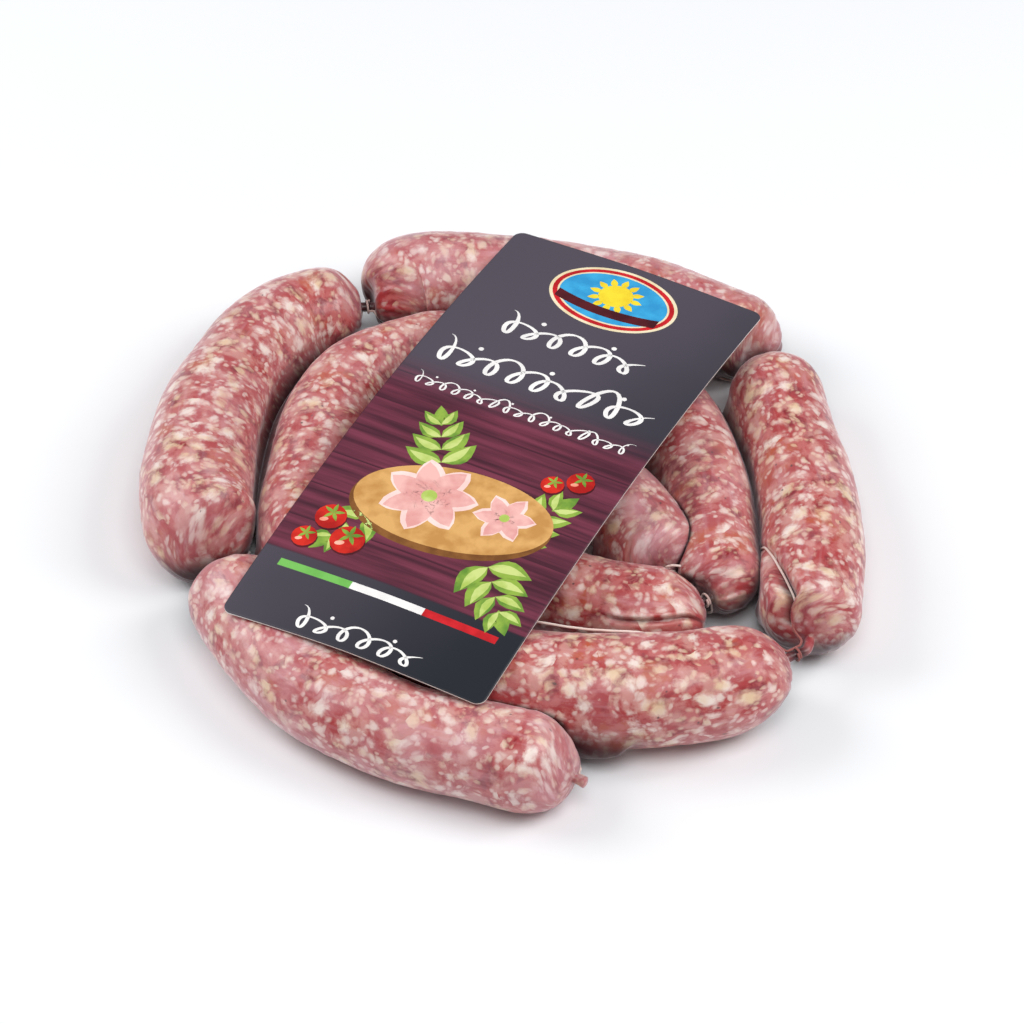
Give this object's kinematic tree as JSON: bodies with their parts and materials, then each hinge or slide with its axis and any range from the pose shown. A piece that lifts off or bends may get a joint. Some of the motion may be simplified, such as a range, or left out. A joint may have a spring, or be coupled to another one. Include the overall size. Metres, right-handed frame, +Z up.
{
  "type": "coiled string of raw sausage links with a label card",
  "caption": "Flat spiral of raw coarse-ground pork sausage links in natural casing, tied with butcher's twine, under a curved printed card",
  "frame": {"origin": "on the surface that the coil lies on, under the middle of its box", "axes": "+Z up, +Y to the back end of the coil, +X to its right side"},
  "size_m": [0.2436, 0.2647, 0.0385],
  "materials": {
    "meat": "moist natural casing over coarse pork and fat",
    "twine": "damp cotton twine",
    "card": "satin laminated print"
  },
  "bodies": {
    "root": {"link_front_left": "meat", "link_left": "meat", "link_back": "meat", "link_right": "meat", "link_front_right": "meat", "link_inner_left": "meat", "link_inner_right": "meat", "link_core_front": "meat", "link_core": "meat", "twine": "twine", "card": "card"}
  },
  "joints": []
}
